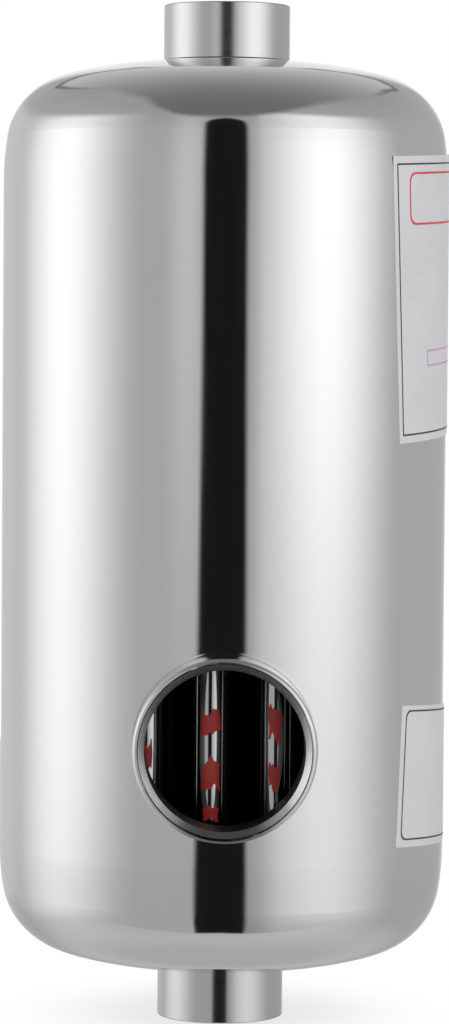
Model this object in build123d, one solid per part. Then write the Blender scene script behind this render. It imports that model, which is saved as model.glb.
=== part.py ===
from build123d import *
import os
from math import atan2, cos, degrees, hypot, radians, sin, sqrt

# Pool heat exchanger: a polished stainless shell with two dished heads, four
# pipe sockets and a bundle of straight tubes. All sizes are in millimetres.
# The origin is under the middle of the bottom socket, Z is up along the shell's
# axis, and the lower water port faces -Y.

# Shell and dished heads
shell_diameter = 139.7
shell_wall = 1.5
barrel_length = 207.1
shoulder_radius = 90.0
shoulder_angle = 9.0
knuckle_radius = 23.5
crown_radius = 98.0
seat_width = 4.2

# One inch sockets on the ends, for the hot water
nozzle_diameter = 39.5
nozzle_bore = 33.2
nozzle_projection = 18.0
nozzle_depth = 20.0
nozzle_round = 0.4
nozzle_bevel = 1.1

# One and a half inch sockets on the sides, for the pool water
port_diameter = 54.8
port_bore = 47.8
port_projection = 15.7
port_inset = 37.1
port_round = 1.5
port_bevel = 1.8

# Welds, which are small and polished
neck_weld_leg = 0.9
neck_weld_fullness = 0.62
port_weld_leg = 0.85
port_weld_round = 0.55

# Tube bundle: a core tube and three rings round it
tube_diameter = 9.5
tube_wall = 0.7
tube_stickout = 1.5
bundle_margin = 6.09
ring_counts = (6, 12, 18)
bundle_twist = -4.2

# Tube sheets, baffles and tie rods
sheet_thickness = 3.0
baffle_thickness = 1.5
baffle_pitch = 30.5
baffle_lip = 7.5
tie_rod_diameter = 5.0
tie_rod_turns = (60, 120, 240, 300)
tie_rod_end = 4.0

# Clearances
weld_gap = 0.05
hole_gap = 0.05
tube_hole_gap = 0.06
baffle_hole_gap = 0.15
baffle_edge_gap = 0.4

shell_radius = shell_diameter / 2
inner_radius = shell_radius - shell_wall
nozzle_radius = nozzle_diameter / 2
port_radius = port_diameter / 2
tube_radius = tube_diameter / 2
tie_rod_radius = tie_rod_diameter / 2

# The rings are evenly spaced, with the outermost a margin inside the shell
ring_pitch = (inner_radius - bundle_margin - tube_radius) / len(ring_counts)

# Centres of the three tangent arcs of a head, above its open edge. The crown's
# arc ends level, at a flat seat round the socket.
knuckle_reach = shoulder_radius - knuckle_radius
shoulder_x = shell_radius - shoulder_radius
knuckle_x = shoulder_x + knuckle_reach * cos(radians(shoulder_angle))
knuckle_z = knuckle_reach * sin(radians(shoulder_angle))
crown_x = nozzle_radius + seat_width
crown_run = knuckle_x - crown_x
crown_z = knuckle_z - sqrt((crown_radius - knuckle_radius) ** 2 - crown_run**2)
crown_angle = degrees(atan2(knuckle_z - crown_z, crown_run))
head_height = crown_z + crown_radius

# Heights above the face that the exchanger stands on
lower_edge = nozzle_projection + head_height
upper_edge = lower_edge + barrel_length
overall_height = upper_edge + head_height + nozzle_projection
front_port_height = lower_edge + port_inset
rear_port_height = upper_edge - port_inset
middle_height = overall_height / 2

upward = (Align.CENTER, Align.CENTER, Align.MIN)
downward = (Align.CENTER, Align.CENTER, Align.MAX)

# Quarter turn that keeps a cylinder's seam off the sides, where thin saddles cross it
seam_turn = 90.0


def head_arc(centre, radius, start, end):
    """One arc of the head's section, from a start to an end angle in degrees."""
    return Plane.XZ * CenterArc(centre, radius, start, end - start)


def head_section_line(inset, hole_radius):
    """The three arcs and the flat seat, moved inwards from the outside."""
    seat_z = head_height - inset
    return [
        head_arc((shoulder_x, 0), shoulder_radius - inset, 0, shoulder_angle),
        head_arc((knuckle_x, knuckle_z), knuckle_radius - inset, shoulder_angle, crown_angle),
        head_arc((crown_x, crown_z), crown_radius - inset, crown_angle, 90),
        Plane.XZ * Line((crown_x, seat_z), (hole_radius, seat_z)),
    ]


def dished_head():
    """A pressed head, open edge at Z = 0 and crown up, with the socket's hole."""
    hole_radius = nozzle_radius + hole_gap
    outside = head_section_line(0, hole_radius)
    inside = head_section_line(shell_wall, hole_radius)
    ends = [
        Line(outside[0] @ 0, inside[0] @ 0),
        Line(outside[-1] @ 1, inside[-1] @ 1),
    ]
    return revolve(make_face(outside + inside + ends), Axis.Z)


def socket(diameter, bore, length, edge_round, bevel):
    """A plain pipe socket with its rim up at Z = 0, rounded outside and bevelled inside."""
    body = Cylinder(diameter / 2, length, align=downward)
    body -= Cylinder(bore / 2, length, align=downward)
    rim = body.edges().filter_by(GeomType.CIRCLE).group_by(Axis.Z)[-1]
    body = fillet(rim.sort_by(SortBy.RADIUS)[-1:], edge_round)
    rim = body.edges().filter_by(GeomType.CIRCLE).group_by(Axis.Z)[-1]
    return chamfer(rim.sort_by(SortBy.RADIUS)[:1], bevel)


def nozzle_weld():
    """The fillet weld round an end socket, with a bulging face, on the head's flat seat."""
    inner = nozzle_radius + weld_gap
    foot = head_height + weld_gap
    toe = (inner + neck_weld_leg, foot)
    top = (inner, foot + neck_weld_leg)
    full = neck_weld_fullness * neck_weld_leg
    face = ThreePointArc(toe, (inner + full, foot + full), top)
    outline = [Line((inner, foot), toe), face, Line(top, (inner, foot))]
    return revolve(Plane.XZ * make_face(outline), Axis.Z)


def upright(radius):
    """A cylinder on the shell's axis, as tall as the whole exchanger."""
    return Rot(0, 0, seam_turn) * Cylinder(radius, overall_height, align=upward)


def along_front(radius, length, height):
    """A cylinder that lies from the shell's axis towards -Y."""
    return Pos(0, 0, height) * Rot(90, 0, seam_turn) * Cylinder(radius, length, align=upward)


def front_socket(height):
    """A side socket, cut to the shell's curve so that it ends flush inside."""
    rim = shell_radius + port_projection
    plain = socket(port_diameter, port_bore, rim, port_round, port_bevel)
    return Pos(0, -rim, height) * Rot(90, 0, 0) * plain - upright(inner_radius)


def front_socket_weld(height):
    """The saddle bead where a side socket meets the shell, with its ridge rounded."""
    reach = shell_radius + port_weld_leg
    collar_radius = port_radius + port_weld_leg
    collar = along_front(collar_radius, reach, height)
    collar -= along_front(port_radius + weld_gap, reach, height)
    saddle = (upright(reach) - upright(shell_radius + weld_gap)) & collar
    outermost = reach + collar_radius - weld_gap
    ridge = saddle.edges().filter_by(lambda edge: ridge_reach(edge, height) > outermost)
    return fillet(ridge, port_weld_round)


def ridge_reach(edge, height):
    """How far an edge's middle lies from the shell's axis and from the port's, together."""
    middle = edge @ 0.5
    return hypot(middle.X, middle.Y) + hypot(middle.X, middle.Z - height)


def to_rear(shape):
    """Turns a front piece round to the rear side."""
    return Rot(0, 0, 180) * shape


def barrel():
    """The rolled shell, with a hole for each side socket."""
    tube = Cylinder(shell_radius, barrel_length, align=upward)
    tube -= Cylinder(inner_radius, barrel_length, align=upward)
    hole_radius = port_radius + hole_gap
    front_hole = along_front(hole_radius, shell_diameter, front_port_height)
    rear_hole = to_rear(along_front(hole_radius, shell_diameter, rear_port_height))
    return Pos(0, 0, lower_edge) * tube - front_hole - rear_hole


def on_ring(radius, turns):
    """Places on a circle round the axis, at turns in degrees from the front."""
    return [(radius * sin(radians(turn)), -radius * cos(radians(turn))) for turn in turns]


def ring_spots(ring):
    """The tube centres of one ring, counted from 0 at the core outwards."""
    count = ring_counts[ring]
    turns = [bundle_twist + 360 * number / count for number in range(count)]
    return on_ring(ring_pitch * (ring + 1), turns)


def all_tube_spots():
    """The core tube's centre and those of every ring."""
    rings = range(len(ring_counts))
    return [(0, 0)] + [spot for ring in rings for spot in ring_spots(ring)]


def tie_rod_spots():
    """The tie rods stand between the two outer rings of tubes, clear of the windows."""
    return on_ring(ring_pitch * (len(ring_counts) - 0.5), tie_rod_turns)


def rods(spots, radius, bottom, top):
    """Upright rods of one size, as a list of solids."""
    rod = Cylinder(radius, top - bottom, align=upward)
    return [Pos(x, y, bottom) * rod for x, y in spots]


def tubes(spots):
    """Heat exchanger tubes, open at both ends, through both tube sheets."""
    bottom = lower_edge - tube_stickout
    top = upper_edge + tube_stickout
    outsides = rods(spots, tube_radius, bottom, top)
    bores = rods(spots, tube_radius - tube_wall, bottom, top)
    return Compound(children=[outside - bore for outside, bore in zip(outsides, bores)])


def tube_sheet(bottom):
    """A drilled disc that holds the tube ends and closes the pool side off."""
    disc = Pos(0, 0, bottom) * Cylinder(inner_radius - weld_gap, sheet_thickness, align=upward)
    top = bottom + sheet_thickness
    return disc - rods(all_tube_spots(), tube_radius + tube_hole_gap, bottom, top)


def baffle(bottom, window_side):
    """A baffle with its window at the front (-1) or the rear (1), a lip beyond the rods."""
    radius = inner_radius - baffle_edge_gap
    top = bottom + baffle_thickness
    plate = Pos(0, 0, bottom) * Cylinder(radius, baffle_thickness, align=upward)
    farthest_rod = max(y for x, y in tie_rod_spots())
    edge = farthest_rod + tie_rod_radius + baffle_lip
    window = Box(shell_diameter, shell_diameter, baffle_thickness, align=upward)
    plate -= Pos(0, window_side * (edge + shell_radius), bottom) * window
    plate -= rods(all_tube_spots(), tube_radius + baffle_hole_gap, bottom, top)
    return plate - rods(tie_rod_spots(), tie_rod_radius + hole_gap, bottom, top)


def baffle_at(step):
    """The underside of a baffle, a number of pitches above the middle one."""
    return middle_height + step * baffle_pitch - baffle_thickness / 2


def tie_rods():
    """Rods from the lower tube sheet to just above the last baffle."""
    bottom = lower_edge + sheet_thickness
    top = baffle_at(1) + baffle_thickness + tie_rod_end
    return Compound(children=rods(tie_rod_spots(), tie_rod_radius, bottom, top))


def at_top(shape):
    """Puts a head piece, made crown up, on the top of the barrel."""
    return Pos(0, 0, upper_edge) * shape


def at_bottom(shape):
    """Puts a head piece, made crown up, upside down under the barrel."""
    return Pos(0, 0, lower_edge) * Rot(180, 0, 0) * shape


nozzle = Pos(0, 0, head_height + nozzle_projection) * socket(
    nozzle_diameter, nozzle_bore, nozzle_depth, nozzle_round, nozzle_bevel
)
nodes = {
    "shell_barrel": barrel(),
    "top_head": at_top(dished_head()),
    "bottom_head": at_bottom(dished_head()),
    "top_nozzle": at_top(nozzle),
    "bottom_nozzle": at_bottom(nozzle),
    "top_nozzle_weld": at_top(nozzle_weld()),
    "bottom_nozzle_weld": at_bottom(nozzle_weld()),
    "front_port": front_socket(front_port_height),
    "rear_port": to_rear(front_socket(rear_port_height)),
    "front_port_weld": front_socket_weld(front_port_height),
    "rear_port_weld": to_rear(front_socket_weld(rear_port_height)),
    "lower_tube_sheet": tube_sheet(lower_edge),
    "upper_tube_sheet": tube_sheet(upper_edge - sheet_thickness),
    "lower_baffle": baffle(baffle_at(-1), 1),
    "middle_baffle": baffle(baffle_at(0), -1),
    "upper_baffle": baffle(baffle_at(1), 1),
    "tie_rods": tie_rods(),
    "core_tube": tubes([(0, 0)]),
    "inner_tubes": tubes(ring_spots(0)),
    "middle_tubes": tubes(ring_spots(1)),
    "outer_tubes": tubes(ring_spots(2)),
}

os.makedirs("parts", exist_ok=True)
for name, shape in nodes.items():
    export_step(shape, f"parts/{name}.step")
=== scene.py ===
from math import asin, cos, pi, radians, sin

import bpy
from mathutils import Matrix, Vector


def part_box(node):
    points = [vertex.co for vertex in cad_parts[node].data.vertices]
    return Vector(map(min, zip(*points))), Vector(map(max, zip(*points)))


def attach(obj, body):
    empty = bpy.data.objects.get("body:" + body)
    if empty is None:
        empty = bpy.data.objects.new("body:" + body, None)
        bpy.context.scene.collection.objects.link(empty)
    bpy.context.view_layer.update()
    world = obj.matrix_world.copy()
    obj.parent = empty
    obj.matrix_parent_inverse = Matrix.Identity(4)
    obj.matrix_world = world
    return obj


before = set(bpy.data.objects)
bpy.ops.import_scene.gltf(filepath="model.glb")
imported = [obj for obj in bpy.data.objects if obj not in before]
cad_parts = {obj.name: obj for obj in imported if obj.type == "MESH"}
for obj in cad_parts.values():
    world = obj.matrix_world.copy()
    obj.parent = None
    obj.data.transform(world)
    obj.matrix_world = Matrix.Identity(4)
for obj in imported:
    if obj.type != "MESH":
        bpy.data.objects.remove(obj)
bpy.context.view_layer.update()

# Pool heat exchanger, dressed. Metres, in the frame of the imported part: Z up
# along the shell, and the front port towards -Y and the camera.

bpy.context.scene.view_settings.view_transform = "Standard"

DEGREES = 180.0 / pi
QUARTER_TURN = pi / 2

# Camera, from a fit of the photograph's outline
CAMERA_DISTANCE = 1.2407
CAMERA_HEIGHT = 0.2173
CAMERA_SIDE = 0.00034
CAMERA_PITCH = radians(2.70)
CAMERA_ROLL = radians(0.44)
CAMERA_TURN = radians(-0.7)
CLIP_START = 0.05
IMAGE_HEIGHT_PX = 1024
FOCAL_PX = 3946
SENSOR_MM = 36.0

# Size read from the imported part
shell_low, shell_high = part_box("shell_barrel")
SHELL_RADIUS = (shell_high.x - shell_low.x) / 2

# Studio, which only reflections see: a tent of pale cloth with a soft light on
# each side and a dark opening in front, a duller ceiling above its rim, and a
# table. Azimuths are degrees to the right of the camera, elevations are degrees
# seen from the studio's centre, and a level of 1 is white. A pair in brackets
# is where a soft step begins and where it ends.
STUDIO_RADIUS = 2.0
STUDIO_CENTRE = 0.16
DOME_COLUMNS = 145
DOME_ROWS = 49
DOME_TOP = radians(89.9)

CLOTH_FADE = (10.0, 60.0)
CLOTH_LOW = 0.44
CLOTH_HIGH = 0.34

# Lights and shades: azimuth, half width and gain
SIDE_LIGHTS = ((-90.0, 50.0, 0.80), (52.5, 50.0, 0.80))
LEFT_GLOW = ((-19.0, 14.0, 0.15),)
RIGHT_SHADE = ((13.0, 8.0, -0.11),)
TABLE_SHADE = ((16.0, 16.0, -0.12),)

TENT_FOOT = (-10.0, 4.0)
DROP_SIDES = (-30.0, 30.0)
LEFT_LIGHT_DROP = 0.165
RIGHT_LIGHT_DROP = 0.44
LIGHT_FADE = (14.0, 27.0)
LIGHT_UPPER = 0.72
LIGHT_TOP = 47.5
LIGHT_TOP_FALL = 0.185
LIGHT_TOP_SOFT = 3.5
LIGHT_ABOVE = 0.05

BACKDROP_GAIN = 0.17
BACKDROP_LEFT = (-140.0, -120.0)
BACKDROP_RIGHT = (150.0, 168.0)
BACKDROP_MIDDLE = 0.5
MIDDLE_SIDES = (160.0, 170.0)
MIDDLE_FADE = (15.0, 38.0)
MIDDLE_UPPER = 0.6

RIM_HEIGHT = 37.5
RIM_LEFT_RISE = 22.0
RIM_LEFT = (-72.0, -16.0)
RIM_LEFT_BACK = (-167.0, -95.0)
RIM_RIGHT_RISE = 15.0
RIM_RIGHT = (0.0, 75.0)
RIM_RIGHT_BACK = (90.0, 160.0)
RIM_BACK_HEIGHT = 34.0
RIM_BACK = 150.0
RIM_BACK_SLOPE = 0.68
RIM_SOFT = 4.0
CREASE_DEPTH = 0.6
CREASE_EDGE = (0.3, 2.4)
CREASE_SIDES = (112.0, 150.0)
SKY_LEVEL = 0.155
SKY_GAIN = 0.2
SKY_FORWARD = 0.7

GAP_LEVEL = 0.01
GAP_SIDES = (9.3, 12.6)
GAP_SHIFT = 0.35
GAP_WIDENING = 1.75
GAP_TOP = 35.5
GAP_TOP_SOFT = 1.6
GAP_ROUNDING = 0.045

# The table and its mat, by the distance from the object's axis
TABLE_HEIGHT = -0.12
TABLE_ROWS = 3
TABLE_EYE = 0.0001
TABLE_CLOTH = 0.41
TABLE_FADE = (0.3, 2.0)
TABLE_BACKDROP = (0.25, 0.9)
REACH_NEAR = (0.08, 0.5)
REACH_FAR = (0.4, 2.0)
NEAR_SHARE = 0.65
NEAR_DROP = 0.3
MAT_NEAR = 0.46
MAT_FAR = 0.52
MAT_FADE = (0.05, 0.16)
MAT_OUT = (0.15, 0.3)
MAT_FRONT = 0.185
MAT_CURVE = 0.2
MAT_SOFT = 0.007

FLOOR_SIZE = 12.0
FLOOR_EDGE = (0.02, 0.085)
FLOOR_WHITE = 0.72
FLOOR_COLOUR = (0.93, 0.93, 0.93, 1.0)
FLOOR_ROUGHNESS = 0.9
WORLD_WHITE = (1.0, 1.0, 1.0, 1.0)
WORLD_SEEN_LEVEL = 1.0
WORLD_DIFFUSE_LEVEL = 0.82
LAMPS = (("left_softbox", -60), ("right_softbox", 50))
LAMP_ELEVATION = 40
LAMP_DISTANCE = 1.8
LAMP_SIZE = 1.0
LAMP_POWER = 9

# Steel finishes: colour, roughness and its spread, then the scale, the stretch
# and the bump of the fine lines
EVEN = (1.0, 1.0, 1.0)
POLISHED = ((0.82, 0.82, 0.82), 0.06, 0.015, 400.0, (1.0, 1.0, 0.04), 0.02)
GROUND = ((0.8, 0.8, 0.8), 0.08, 0.015, 400.0, (1.0, 1.0, 0.04), 0.02)
DRAWN = ((0.66, 0.66, 0.66), 0.1, 0.03, 900.0, (1.0, 1.0, 0.05), 0.05)
# Painted shade: the tubes deep in the bundle are steel painted dark, as shade where little light
# reaches them.
BUNDLE_PAINTED_SHADE = ((0.2, 0.2, 0.2), 0.4, 0.05, 900.0, (1.0, 1.0, 0.05), 0.05)
PLATE = ((0.35, 0.35, 0.35), 0.4, 0.08, 500.0, EVEN, 0.1)
TOP_NOZZLE = ((0.73, 0.73, 0.73), 0.2, 0.02, 4000.0, (0.02, 0.02, 1.0), 0.005)
BOTTOM_NOZZLE = ((0.73, 0.73, 0.73), 0.15, 0.02, 4000.0, (0.02, 0.02, 1.0), 0.005)
PORT = ((0.74, 0.74, 0.74), 0.18, 0.02, 1500.0, EVEN, 0.004)
BEAD = ((0.8, 0.8, 0.8), 0.16, 0.04, 700.0, EVEN, 0.05)
NOISE_DETAIL = 3.0
NOISE_RANGE = (0.3, 0.7)
TONE_SCALE = 35.0
STEEL_TONE = 0.97
BUMP_DISTANCE = 0.0001

# Where the finish changes on the sockets and their welds, in the part's own coordinates. The
# sockets are rougher inside than outside, and their bores and the welds' toes are painted dark as
# shade.
PORT_BORE_RADIUS = 0.02395
PORT_LIP_RADIUS = 0.02595
PORT_OUTER_RADIUS = 0.0268
PORT_MOUTH = 0.08385
PORT_ROUND = 0.0842
NOZZLE_BORE_RADIUS = 0.01665
BORE_SOFT = 0.0002
MOUTH_SOFT = 0.0006
# Painted dark reflection: the lowest part of the side sockets' ends is painted darker, by this
# edge, share and tone.
FOOT_EDGE = (0.72, 0.98)
FOOT_PAINTED_REFLECTION = 0.75
FOOT_REFLECTION_TONE = 0.12
BEAD_EDGE = 0.0004
WELD_FLUSH = 0.92
SHELL_ROUGHNESS = 0.06
INSIDE_ROUGHNESS = 0.5
# Painted shade: the colour of the bores and the welds' toes
PAINTED_SHADE_COLOUR = (0.14, 0.14, 0.14)

PAINT_TONE = 0.88
PAINT_SPREAD = 0.06

# Labels on the right side, blank. Azimuths are degrees from the front port, a
# label's turn is in degrees.
LABEL_AZIMUTH = 90.0
LABEL_LIFT = 0.00012
LABEL_CELL = 0.0012
CORNER_PARTS = 6
PRINT_LIFT = 0.00004
PRINT_LINE = 0.0005
FRAME_LINE = 0.0006
UPPER_LABEL = {
    "name": "upper_label", "wide": 0.1045, "tall": 0.0869, "height": 0.2280, "turn": 2.9,
}
LOWER_LABEL = {
    "name": "lower_label", "wide": 0.0975, "tall": 0.0433, "height": 0.0775, "turn": -3.6,
}

# Red dabs on the outer tubes: tube number, middle height, height, turn and
# half width, the last two in degrees
TUBE_RADIUS = 0.00475
BUNDLE_TWIST = -4.2
OUTER_TUBES = 18
DAB_LIFT = 0.00006
DAB_COLUMNS = 25
DAB_ROWS = 13
RED_DABS = (
    (0, 0.0984, 0.0064, 7.7, 35.0),
    (0, 0.0826, 0.0084, 7.2, 34.0),
    (0, 0.0710, 0.0039, 8.2, 29.0),
    (1, 0.0980, 0.0090, -20.8, 23.0),
    (1, 0.0820, 0.0072, -22.9, 19.0),
    (-1, 0.0878, 0.0073, 31.6, 17.0),
)

# How uneven their edges are: rate and depth of each wave
DAB_WAVE = (5, 0.16)
DAB_RIPPLE = (11, 0.09)
DAB_SLANT = (3, 0.12)
DAB_BULGE = (6, 0.08)


def add_camera():
    """The camera at the photograph's place, angle and frame."""
    data = bpy.data.cameras.new("photo_camera")
    data.sensor_fit = "VERTICAL"
    data.sensor_height = SENSOR_MM
    data.lens = SENSOR_MM * FOCAL_PX / IMAGE_HEIGHT_PX
    data.clip_start = CLIP_START
    camera = bpy.data.objects.new("photo_camera", data)
    turn = Matrix.Rotation(CAMERA_TURN, 4, "Z")
    place = turn @ Matrix.Translation((CAMERA_SIDE, -CAMERA_DISTANCE, CAMERA_HEIGHT))
    pitch = Matrix.Rotation(QUARTER_TURN - CAMERA_PITCH, 4, "X")
    roll = Matrix.Rotation(CAMERA_ROLL, 4, "Z")
    camera.matrix_world = place @ pitch @ roll
    bpy.context.scene.collection.objects.link(camera)
    bpy.context.scene.camera = camera


def new_material(name):
    """An empty node material, with its node tree and its output."""
    material = bpy.data.materials.new(name)
    material.use_nodes = True
    tree = material.node_tree
    tree.nodes.clear()
    output = tree.nodes.new("ShaderNodeOutputMaterial")
    return material, tree, output


def math_node(tree, operation, first, second=0.0):
    """A math node whose inputs are sockets or numbers."""
    node = tree.nodes.new("ShaderNodeMath")
    node.operation = operation
    for socket, value in zip(node.inputs, (first, second)):
        if isinstance(value, (int, float)):
            socket.default_value = value
        else:
            tree.links.new(value, socket)
    return node.outputs[0]


class Field:
    """A value that a node tree works out, with plain arithmetic on it."""

    def __init__(self, tree, socket):
        self.tree = tree
        self.socket = socket

    def math(self, operation, other=0.0):
        """Another field, from one operation of a math node."""
        if isinstance(other, Field):
            other = other.socket
        return Field(self.tree, math_node(self.tree, operation, self.socket, other))

    def __add__(self, other):
        return self.math("ADD", other)

    def __sub__(self, other):
        return self.math("SUBTRACT", other)

    def __mul__(self, other):
        return self.math("MULTIPLY", other)

    def step(self, low, high, out_low, out_high):
        """A smooth step from one level to another."""
        node = self.tree.nodes.new("ShaderNodeMapRange")
        node.interpolation_type = "SMOOTHSTEP"
        self.tree.links.new(self.socket, node.inputs["Value"])
        node.inputs["From Min"].default_value = low
        node.inputs["From Max"].default_value = high
        node.inputs["To Min"].default_value = out_low
        node.inputs["To Max"].default_value = out_high
        return Field(self.tree, node.outputs["Result"])


def own_place(tree):
    """A piece's own coordinates, as three fields."""
    place = tree.nodes.new("ShaderNodeTexCoord")
    split = tree.nodes.new("ShaderNodeSeparateXYZ")
    tree.links.new(place.outputs["Object"], split.inputs[0])
    return [Field(tree, socket) for socket in split.outputs]


def distance(first, second):
    """How far a place lies from an axis, from the two coordinates across it."""
    return (first * first + second * second).math("SQRT")


def noise(tree, scale, stretch):
    """Noise in the part's own space, stretched along its axes."""
    place = tree.nodes.new("ShaderNodeTexCoord")
    mapping = tree.nodes.new("ShaderNodeMapping")
    mapping.inputs["Scale"].default_value = stretch
    texture = tree.nodes.new("ShaderNodeTexNoise")
    texture.inputs["Scale"].default_value = scale
    texture.inputs["Detail"].default_value = NOISE_DETAIL
    tree.links.new(place.outputs["Object"], mapping.inputs["Vector"])
    tree.links.new(mapping.outputs["Vector"], texture.inputs["Vector"])
    return Field(tree, texture.outputs["Fac"])


def darker(colour, share):
    """A colour with its channels cut to a share."""
    return tuple(channel * share for channel in colour)


def mixed(tree, first, second, share):
    """A mix of two colours, each a tuple or a socket, by a field."""
    node = tree.nodes.new("ShaderNodeMix")
    node.data_type = "RGBA"
    for name, colour in (("A", first), ("B", second)):
        if isinstance(colour, tuple):
            node.inputs[name].default_value = (*colour, 1.0)
        else:
            tree.links.new(colour, node.inputs[name])
    tree.links.new(share.socket, node.inputs["Factor"])
    return node.outputs["Result"]


def show_mixed(tree, output, share, first, second):
    """Sends a mix of two shaders to the output."""
    mix = tree.nodes.new("ShaderNodeMixShader")
    for socket, value in zip(mix.inputs, (share, first, second)):
        tree.links.new(value, socket)
    tree.links.new(mix.outputs[0], output.inputs["Surface"])


def vector_node(tree, operation, vector, factors=None):
    """A vector math node on a socket, with fixed factors where it needs them."""
    node = tree.nodes.new("ShaderNodeVectorMath")
    node.operation = operation
    tree.links.new(vector, node.inputs[0])
    if factors:
        node.inputs[1].default_value = factors
    return node.outputs[0]


def shell_normal(tree, normal):
    """Turns a normal most of the way to the shell's own, as on a weld ground flush."""
    place = tree.nodes.new("ShaderNodeTexCoord")
    flat = vector_node(tree, "MULTIPLY", place.outputs["Object"], (1.0, 1.0, 0.0))
    mix = tree.nodes.new("ShaderNodeMix")
    mix.data_type = "VECTOR"
    mix.inputs["Factor"].default_value = WELD_FLUSH
    tree.links.new(normal, mix.inputs["A"])
    tree.links.new(vector_node(tree, "NORMALIZE", flat), mix.inputs["B"])
    return vector_node(tree, "NORMALIZE", mix.outputs["Result"])


def steel(name, finish, inside=None, polished=None, shaded=None, flush=False):
    """Stainless steel: fine lines vary its roughness, tone and height.

    The masks say where it is rougher and painted dark as shade, as in a socket's bore
    or at a weld's toes, where it is polished like the shell, and where a painted dark
    reflection darkens it. Flush steel takes its normals from the shell.
    """
    colour, roughness, spread, scale, stretch, bump = finish
    material, tree, output = new_material(name)
    shader = tree.nodes.new("ShaderNodeBsdfPrincipled")
    shader.inputs["Metallic"].default_value = 1.0
    lines = noise(tree, scale, stretch)
    rough = lines.step(*NOISE_RANGE, roughness - spread, roughness + spread)
    shade = mixed(tree, darker(colour, STEEL_TONE), colour, noise(tree, TONE_SCALE, EVEN))
    if inside:
        dull_and_shade = inside(tree)
        rough = rough + dull_and_shade * (INSIDE_ROUGHNESS - roughness)
        # Painted shade: the bores and the welds' toes are darkened as if in shade, and made rougher
        shade = mixed(tree, shade, PAINTED_SHADE_COLOUR, dull_and_shade)
    if shaded:
        # Painted dark reflection on the lowest part of the side sockets' ends
        shade = mixed(tree, shade, darker(colour, FOOT_REFLECTION_TONE), shaded(tree))
    if polished:
        rough = rough * (polished(tree) * (SHELL_ROUGHNESS / roughness - 1.0) + 1.0)
    tree.links.new(rough.socket, shader.inputs["Roughness"])
    tree.links.new(shade, shader.inputs["Base Color"])
    height = tree.nodes.new("ShaderNodeBump")
    height.inputs["Strength"].default_value = bump
    height.inputs["Distance"].default_value = BUMP_DISTANCE
    tree.links.new(lines.socket, height.inputs["Height"])
    normal = height.outputs["Normal"]
    if flush:
        normal = shell_normal(tree, normal)
    tree.links.new(normal, shader.inputs["Normal"])
    tree.links.new(shader.outputs["BSDF"], output.inputs["Surface"])
    return material


def port_bore(height):
    """Where a side socket's bore lies, behind the bevel of its mouth."""
    def mask(tree):
        x, y, z = own_place(tree)
        radius = distance(x, z - height)
        within = radius.step(PORT_BORE_RADIUS, PORT_BORE_RADIUS + BORE_SOFT, 1.0, 0.0)
        return within * y.math("ABSOLUTE").step(PORT_MOUTH - MOUTH_SOFT, PORT_MOUTH, 1.0, 0.0)
    return mask


def port_side(height):
    """Where a side socket's outer wall lies, behind the round of its end."""
    def mask(tree):
        x, y, z = own_place(tree)
        outer = distance(x, z - height).step(PORT_LIP_RADIUS, PORT_OUTER_RADIUS, 0.0, 1.0)
        return outer * y.math("ABSOLUTE").step(PORT_ROUND - MOUTH_SOFT, PORT_ROUND, 1.0, 0.0)
    return mask


def port_foot_painted_reflection(height):
    """Where a painted dark reflection darkens the lowest part of a side socket's end."""
    def mask(tree):
        x, _, z = own_place(tree)
        z = z - height
        share = (z * -1.0).math("DIVIDE", distance(x, z))
        return share.step(*FOOT_EDGE, 0.0, FOOT_PAINTED_REFLECTION)
    return mask


def nozzle_bore(tree):
    """Where the end sockets' bores lie."""
    x, y, _ = own_place(tree)
    return distance(x, y).step(NOZZLE_BORE_RADIUS, NOZZLE_BORE_RADIUS + BORE_SOFT, 1.0, 0.0)


def bead_toe_painted_shade(low, high):
    """Dark lines of painted shade where an end socket's weld meets its neighbours, in the grooves
    at its toes.
    """
    def mask(tree):
        height = own_place(tree)[2]
        from_middle = (height - (low.z + high.z) / 2).math("ABSOLUTE")
        half = (high.z - low.z) / 2
        return from_middle.step(half - BEAD_EDGE, half - BEAD_EDGE / 2, 0.0, 1.0)
    return mask


def dress(names, material):
    """Gives CAD nodes a material in place of their plain one."""
    for name in names:
        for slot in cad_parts[name].material_slots:
            slot.material = material


def reflected_only(piece):
    """A studio piece that only reflections see."""
    piece.visible_camera = False
    piece.visible_diffuse = False
    piece.visible_transmission = False
    piece.visible_volume_scatter = False
    piece.visible_shadow = False


def mesh_piece(name, vertices, faces, material, smooth=True):
    """A mesh object with one material."""
    mesh = bpy.data.meshes.new(name)
    mesh.from_pydata(vertices, [], faces)
    mesh.materials.append(material)
    mesh.polygons.foreach_set("use_smooth", [smooth] * len(mesh.polygons))
    piece = bpy.data.objects.new(name, mesh)
    bpy.context.scene.collection.objects.link(piece)
    return piece


def grid_faces(columns, rows):
    """Quads of a grid of points that are listed row by row."""
    return [
        (row * columns + column, row * columns + column + 1,
         (row + 1) * columns + column + 1, (row + 1) * columns + column)
        for row in range(rows - 1)
        for column in range(columns - 1)
    ]


def azimuth_at(x, y):
    """Degrees to the right of the camera."""
    return x.math("ARCTAN2", y * -1.0) * DEGREES


def bumps(azimuth, rows):
    """Soft lights or shades, each with its middle, half width and gain."""
    total = azimuth * 0.0
    for centre, half_width, gain in rows:
        total = total + (azimuth - centre).math("ABSOLUTE").step(0.0, half_width, gain, 0.0)
    return total


def light_drop(azimuth):
    """How much of the side lights is gone at the foot of the tent."""
    return azimuth.step(*DROP_SIDES, LEFT_LIGHT_DROP, RIGHT_LIGHT_DROP)


def gap_at(azimuth, lowness):
    """The dark opening in front, which is wider and further left at its foot."""
    side = (azimuth + lowness * GAP_SHIFT).math("ABSOLUTE") - lowness * GAP_WIDENING
    return side.step(*GAP_SIDES, 1.0, 0.0)


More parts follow.
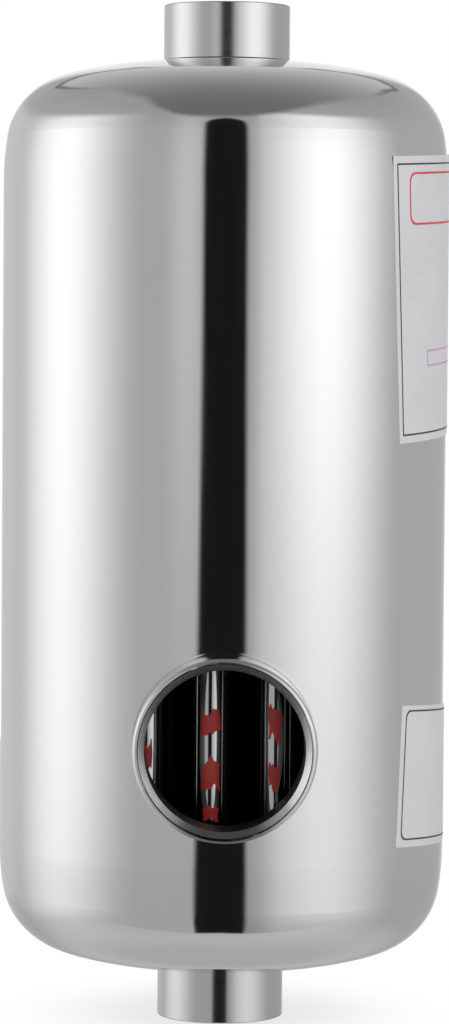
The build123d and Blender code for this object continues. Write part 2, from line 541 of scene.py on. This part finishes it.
def backdrop(azimuth):
    """The brighter cloth behind the object."""
    left = azimuth.step(*BACKDROP_LEFT, BACKDROP_GAIN, 0.0)
    return left + azimuth.step(*BACKDROP_RIGHT, 0.0, BACKDROP_GAIN)


def rim_at(azimuth, side):
    """The elevation where the tent ends and the ceiling begins."""
    left = azimuth.step(*RIM_LEFT, RIM_LEFT_RISE, 0.0) * azimuth.step(*RIM_LEFT_BACK, 0.0, 1.0)
    right = azimuth.step(*RIM_RIGHT, 0.0, RIM_RIGHT_RISE)
    right = right * azimuth.step(*RIM_RIGHT_BACK, 1.0, 0.0)
    back = (side * -1.0 + RIM_BACK).math("MAXIMUM", 0.0) * RIM_BACK_SLOPE + RIM_BACK_HEIGHT
    return (left + right + RIM_HEIGHT).math("MINIMUM", back)


def glow(tree, output, level):
    """Lets a studio piece shine at a level."""
    shine = tree.nodes.new("ShaderNodeEmission")
    tree.links.new(level.socket, shine.inputs["Strength"])
    tree.links.new(shine.outputs[0], output.inputs["Surface"])


def tent_level(azimuth, side, elevation, low):
    """The cloth of the tent, with its lights and the backdrop behind the object."""
    lights = bumps(azimuth, SIDE_LIGHTS) * (low * light_drop(azimuth) * -1.0 + 1.0)
    lights = lights + bumps(azimuth, LEFT_GLOW) * (low * -1.0 + 1.0) + bumps(azimuth, RIGHT_SHADE)
    lights = lights * elevation.step(*LIGHT_FADE, 1.0, LIGHT_UPPER)
    above_light = elevation + side * LIGHT_TOP_FALL - LIGHT_TOP
    lit = above_light.step(-LIGHT_TOP_SOFT, LIGHT_TOP_SOFT, 1.0, LIGHT_ABOVE)
    middle = side.step(*MIDDLE_SIDES, 0.0, BACKDROP_MIDDLE)
    middle = middle * elevation.step(*MIDDLE_FADE, 1.0, MIDDLE_UPPER)
    cloth = (lights + backdrop(azimuth)) * lit + middle
    return cloth + elevation.step(*CLOTH_FADE, CLOTH_LOW, CLOTH_HIGH)


def dome_material():
    """The tent, its lights and opening, and the ceiling above its rim."""
    material, tree, output = new_material("studio_dome")
    x, y, z = own_place(tree)
    azimuth = azimuth_at(x, y)
    side = azimuth.math("ABSOLUTE")
    elevation = (z * (1.0 / STUDIO_RADIUS)).math("ARCSINE") * DEGREES
    low = elevation.step(*TENT_FOOT, 1.0, 0.0)
    cloth = tent_level(azimuth, side, elevation, low)

    back = y * (1.0 / STUDIO_RADIUS) + SKY_FORWARD
    sky = back * back * SKY_GAIN + SKY_LEVEL
    above_rim = elevation - rim_at(azimuth, side)
    level = cloth + (sky - cloth) * above_rim.step(-RIM_SOFT, RIM_SOFT, 0.0, 1.0)
    crease = above_rim.math("ABSOLUTE").step(*CREASE_EDGE, CREASE_DEPTH, 0.0)
    level = level * (crease * side.step(*CREASE_SIDES, 0.0, -1.0) + 1.0)

    above_gap = elevation + side * side * GAP_ROUNDING - GAP_TOP
    gap = gap_at(azimuth, low) * above_gap.step(-GAP_TOP_SOFT, GAP_TOP_SOFT, 1.0, 0.0)
    glow(tree, output, level * (gap * -1.0 + 1.0) + GAP_LEVEL)
    return material


def table_material():
    """The tent's reflection on the table, and the mat that the object stands on."""
    material, tree, output = new_material("studio_table")
    x, y, _ = own_place(tree)
    azimuth = azimuth_at(x, y)
    radius = distance(x, y)
    drop = light_drop(azimuth)
    # Painted shadow: near the object the side lights fade, as the object shades the table.
    reach = radius.step(*REACH_NEAR, 0.0, 1.0) * (drop * -NEAR_DROP + NEAR_SHARE)
    far = radius.step(*REACH_FAR, 0.0, 1.0) * (drop * (NEAR_DROP - 1.0) + (1.0 - NEAR_SHARE))
    lights = bumps(azimuth, SIDE_LIGHTS) * (reach + far)
    plain = radius.step(*TABLE_FADE, TABLE_CLOTH, CLOTH_LOW) + bumps(azimuth, TABLE_SHADE)
    plain = plain + backdrop(azimuth) * radius.step(*TABLE_BACKDROP, 0.0, 1.0)
    cloth = (lights + plain) * (gap_at(azimuth, 1.0) * -1.0 + 1.0) + GAP_LEVEL
    front = x.math("ABSOLUTE") * MAT_CURVE - y
    mat = front.step(MAT_FRONT - MAT_SOFT, MAT_FRONT + MAT_SOFT, 1.0, 0.0)
    mat = mat * radius.step(*MAT_OUT, 1.0, 0.0)
    near = lights + radius.step(*MAT_FADE, MAT_NEAR, MAT_FAR)
    glow(tree, output, cloth + (near - cloth) * mat)
    return material


def polar(radius, azimuth, height):
    """A point at a distance from the Z axis, with its azimuth counted from -Y."""
    return (radius * sin(azimuth), -radius * cos(azimuth), height)


def ring_azimuths():
    """The azimuths of a studio piece's columns, once round from behind."""
    return [pi * (2 * column / (DOME_COLUMNS - 1) - 1) for column in range(DOME_COLUMNS)]


def add_dome():
    """The tent and ceiling, from the table up to just short of the top."""
    foot = -asin((STUDIO_CENTRE - TABLE_HEIGHT) / STUDIO_RADIUS)
    points = []
    for row in range(DOME_ROWS):
        elevation = foot + (DOME_TOP - foot) * row / (DOME_ROWS - 1)
        radius, height = STUDIO_RADIUS * cos(elevation), STUDIO_RADIUS * sin(elevation)
        points += [polar(radius, azimuth, height) for azimuth in ring_azimuths()]
    faces = grid_faces(DOME_COLUMNS, DOME_ROWS)
    dome = mesh_piece("studio_dome", points, faces, dome_material())
    dome.location.z = STUDIO_CENTRE
    dome.rotation_euler.z = CAMERA_TURN
    reflected_only(dome)


def add_table():
    """The table top that the lower head reflects, out to the foot of the tent."""
    reach = (STUDIO_RADIUS ** 2 - (STUDIO_CENTRE - TABLE_HEIGHT) ** 2) ** 0.5
    points = []
    for row in range(TABLE_ROWS):
        radius = TABLE_EYE + (reach - TABLE_EYE) * row / (TABLE_ROWS - 1)
        points += [polar(radius, azimuth, TABLE_HEIGHT) for azimuth in ring_azimuths()]
    faces = grid_faces(DOME_COLUMNS, TABLE_ROWS)
    table = mesh_piece("studio_table", points, faces, table_material())
    table.rotation_euler.z = CAMERA_TURN
    reflected_only(table)


def add_floor():
    """A pale floor, white to the camera away from the object and shaded near it."""
    half = FLOOR_SIZE / 2
    corners = [(-half, -half, 0), (half, -half, 0), (half, half, 0), (-half, half, 0)]
    material, tree, output = new_material("floor_paint")
    shader = tree.nodes.new("ShaderNodeBsdfPrincipled")
    shader.inputs["Base Color"].default_value = FLOOR_COLOUR
    shader.inputs["Roughness"].default_value = FLOOR_ROUGHNESS
    white = tree.nodes.new("ShaderNodeEmission")
    path = tree.nodes.new("ShaderNodeLightPath")
    x, y, _ = own_place(tree)
    away = distance(x, y).step(*FLOOR_EDGE, FLOOR_WHITE, 1.0)
    seen = away * Field(tree, path.outputs["Is Camera Ray"])
    show_mixed(tree, output, seen.socket, shader.outputs["BSDF"], white.outputs[0])
    floor = mesh_piece("studio_floor", corners, [(0, 1, 2, 3)], material, smooth=False)
    floor.visible_glossy = False


def background(tree, level):
    """A white background at a level."""
    node = tree.nodes.new("ShaderNodeBackground")
    node.inputs["Color"].default_value = WORLD_WHITE
    node.inputs["Strength"].default_value = level
    return node.outputs[0]


def add_world():
    """White to the camera and in reflections, and a plain level elsewhere."""
    world = bpy.data.worlds.new("studio")
    bpy.context.scene.world = world
    world.use_nodes = True
    tree = world.node_tree
    tree.nodes.clear()
    output = tree.nodes.new("ShaderNodeOutputWorld")
    seen = background(tree, WORLD_SEEN_LEVEL)
    light = background(tree, WORLD_DIFFUSE_LEVEL)
    rays = tree.nodes.new("ShaderNodeLightPath").outputs
    mirror = math_node(tree, "MAXIMUM", rays["Is Glossy Ray"], rays["Is Transmission Ray"])
    shown = math_node(tree, "MAXIMUM", rays["Is Camera Ray"], mirror)
    show_mixed(tree, output, shown, light, seen)


def add_lamp(name, azimuth):
    """A soft square lamp that points at the middle of the shell."""
    data = bpy.data.lights.new(name, "AREA")
    data.size = LAMP_SIZE
    data.energy = LAMP_POWER
    lamp = bpy.data.objects.new(name, data)
    turn, rise = radians(azimuth), radians(LAMP_ELEVATION)
    height = STUDIO_CENTRE + LAMP_DISTANCE * sin(rise)
    lamp.location = polar(LAMP_DISTANCE * cos(rise), turn, height)
    lamp.rotation_euler = (QUARTER_TURN - rise, 0, turn)
    lamp.visible_glossy = False
    bpy.context.scene.collection.objects.link(lamp)


def paint(name, colour, roughness, grain):
    """A printed or painted finish with a slight unevenness."""
    material, tree, output = new_material(name)
    shader = tree.nodes.new("ShaderNodeBsdfPrincipled")
    uneven = noise(tree, grain, EVEN)
    tone = mixed(tree, darker(colour, PAINT_TONE), colour, uneven)
    tree.links.new(tone, shader.inputs["Base Color"])
    rough = uneven.step(*NOISE_RANGE, roughness - PAINT_SPREAD, roughness + PAINT_SPREAD)
    tree.links.new(rough.socket, shader.inputs["Roughness"])
    tree.links.new(shader.outputs["BSDF"], output.inputs["Surface"])
    return material


def on_shell(label, across, up, lift):
    """A point of a label, by its distances from the label's middle."""
    turn = radians(label["turn"])
    along = across * cos(turn) - up * sin(turn)
    rise = across * sin(turn) + up * cos(turn)
    azimuth = radians(LABEL_AZIMUTH) + along / SHELL_RADIUS
    return polar(SHELL_RADIUS + lift, azimuth, label["height"] + rise)


def add_label_sheet(label, material):
    """The sticker itself, with its edge turned down to the shell."""
    columns = round(label["wide"] / LABEL_CELL) + 1
    rows = round(label["tall"] / LABEL_CELL) + 1
    points = []
    for row in range(rows):
        up = label["tall"] * (row / (rows - 1) - 0.5)
        for column in range(columns):
            across = label["wide"] * (column / (columns - 1) - 0.5)
            rim = row in (0, rows - 1) or column in (0, columns - 1)
            points.append(on_shell(label, across, up, 0.0 if rim else LABEL_LIFT))
    sheet = mesh_piece(label["name"], points, grid_faces(columns, rows), material)
    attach(sheet, "root")


def rounded_outline(wide, tall, corner, step):
    """Points round a rectangle with rounded corners, close enough to bend with the shell."""
    points = []
    for number in range(4):
        middle_x = (wide / 2 - corner) * (1 if number in (0, 3) else -1)
        middle_y = (tall / 2 - corner) * (1 if number in (0, 1) else -1)
        for part in range(CORNER_PARTS + 1):
            turn = QUARTER_TURN * (number + part / CORNER_PARTS)
            points.append((middle_x + corner * cos(turn), middle_y + corner * sin(turn)))
    close = []
    for start, end in zip(points, points[1:] + points[:1]):
        length = ((end[0] - start[0]) ** 2 + (end[1] - start[1]) ** 2) ** 0.5
        pieces = max(1, round(length / step))
        for piece in range(pieces):
            share = piece / pieces
            close.append((
                start[0] + (end[0] - start[0]) * share,
                start[1] + (end[1] - start[1]) * share,
            ))
    return close


def add_printed_frame(label, name, wide, tall, corner, middle_up, line, material):
    """A printed line round a rectangle on a label."""
    outer = rounded_outline(wide, tall, corner, LABEL_CELL)
    points = []
    for x, y in outer:
        inner_x = x * (1 - 2 * line / wide)
        inner_y = y * (1 - 2 * line / tall)
        points.append(on_shell(label, x, middle_up + y, LABEL_LIFT + PRINT_LIFT))
        points.append(on_shell(label, inner_x, middle_up + inner_y, LABEL_LIFT + PRINT_LIFT))
    count = len(outer)
    faces = [
        (2 * i, 2 * ((i + 1) % count), 2 * ((i + 1) % count) + 1, 2 * i + 1)
        for i in range(count)
    ]
    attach(mesh_piece(name, points, faces, material), "root")


def add_labels():
    """Two blank stickers with a border each, and two empty frames on the upper one."""
    film = paint("label_film", (0.57, 0.57, 0.58), 0.32, 60.0)
    dark = paint("label_border", (0.03, 0.03, 0.03), 0.4, 300.0)
    red = paint("label_frame", (0.6, 0.03, 0.05), 0.4, 300.0)
    pale = paint("label_field", (0.5, 0.3, 0.55), 0.4, 300.0)
    add_label_sheet(UPPER_LABEL, film)
    add_label_sheet(LOWER_LABEL, film)

    # Label, name, width, height, corner radius, height of its middle on the
    # label, width of the line and paint
    for row in (
        (UPPER_LABEL, "upper_border", 0.1013, 0.0825, 0.0003, 0.0, PRINT_LINE, dark),
        (UPPER_LABEL, "upper_red_frame", 0.0892, 0.0160, 0.003, 0.0305, FRAME_LINE, red),
        (UPPER_LABEL, "upper_empty_field", 0.0708, 0.005, 0.0003, -0.0183, PRINT_LINE, pale),
        (LOWER_LABEL, "lower_border", 0.0935, 0.0398, 0.0025, 0.0004, PRINT_LINE, dark),
    ):
        add_printed_frame(*row)


def uneven_wave(wave, place, shift):
    """A wave of the dabs' edges."""
    rate, depth = wave
    return depth * sin(rate * place + shift)


def add_red_dabs():
    """Uneven red dabs on the outer tubes, seen through the front port."""
    red = paint("red_dab", (0.42, 0.018, 0.011), 0.5, 900.0)
    core_low, core_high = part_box("outer_tubes")
    ring = ((core_high.y - core_low.y) / 2 - TUBE_RADIUS) / cos(radians(BUNDLE_TWIST))
    radius = TUBE_RADIUS + DAB_LIFT
    for count, (number, height, tall, turn, half) in enumerate(RED_DABS):
        place = radians(BUNDLE_TWIST + 360 / OUTER_TUBES * number)
        middle_x, middle_y, _ = polar(ring, place, height)
        points = []
        for row in range(DAB_ROWS):
            share = row / (DAB_ROWS - 1)
            bulge = 1 + uneven_wave(DAB_BULGE, share, count)
            for column in range(DAB_COLUMNS):
                side = 2 * column / (DAB_COLUMNS - 1) - 1
                wave = uneven_wave(DAB_WAVE, side, 2 * count) + uneven_wave(DAB_RIPPLE, side, count)
                slant = tall * uneven_wave(DAB_SLANT, side, count)
                rise = tall * (share - 0.5) * (1 + wave) + slant
                x, y, z = polar(radius, place + radians(turn + half * side * bulge), height + rise)
                points.append((middle_x + x, middle_y + y, z))
        faces = grid_faces(DAB_COLUMNS, DAB_ROWS)
        dab = mesh_piece(f"red_dab_{count + 1}", points, faces, red)
        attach(dab, "root")


add_camera()
add_world()
add_floor()
add_dome()
add_table()
for name, azimuth in LAMPS:
    add_lamp(name, azimuth)

dress(["shell_barrel", "top_head", "bottom_head"], steel("polished_shell", POLISHED))
dress(["front_port_weld", "rear_port_weld"], steel("ground_weld", GROUND, flush=True))
dress(["outer_tubes"], steel("drawn_tube", DRAWN))
# Painted shade on the tubes deep in the bundle
dress(["core_tube", "inner_tubes", "middle_tubes"], steel("painted_shade_tube", BUNDLE_PAINTED_SHADE))
dress([
    "lower_tube_sheet", "upper_tube_sheet", "tie_rods",
    "lower_baffle", "middle_baffle", "upper_baffle",
], steel("mill_plate", PLATE))
dress(["top_nozzle"], steel("turned_top_nozzle", TOP_NOZZLE, nozzle_bore))
dress(["bottom_nozzle"], steel("turned_bottom_nozzle", BOTTOM_NOZZLE, nozzle_bore))
for name in ("front_port", "rear_port"):
    port_low, port_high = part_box(name)
    axis = (port_low.z + port_high.z) / 2
    masks = (port_bore(axis), port_side(axis), port_foot_painted_reflection(axis))
    dress([name], steel("turned_" + name, PORT, *masks))
for name in ("top_nozzle_weld", "bottom_nozzle_weld"):
    # The welds' toes take painted shade as dark lines
    dress([name], steel(name + "_steel", BEAD, bead_toe_painted_shade(*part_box(name))))

add_labels()
add_red_dabs()
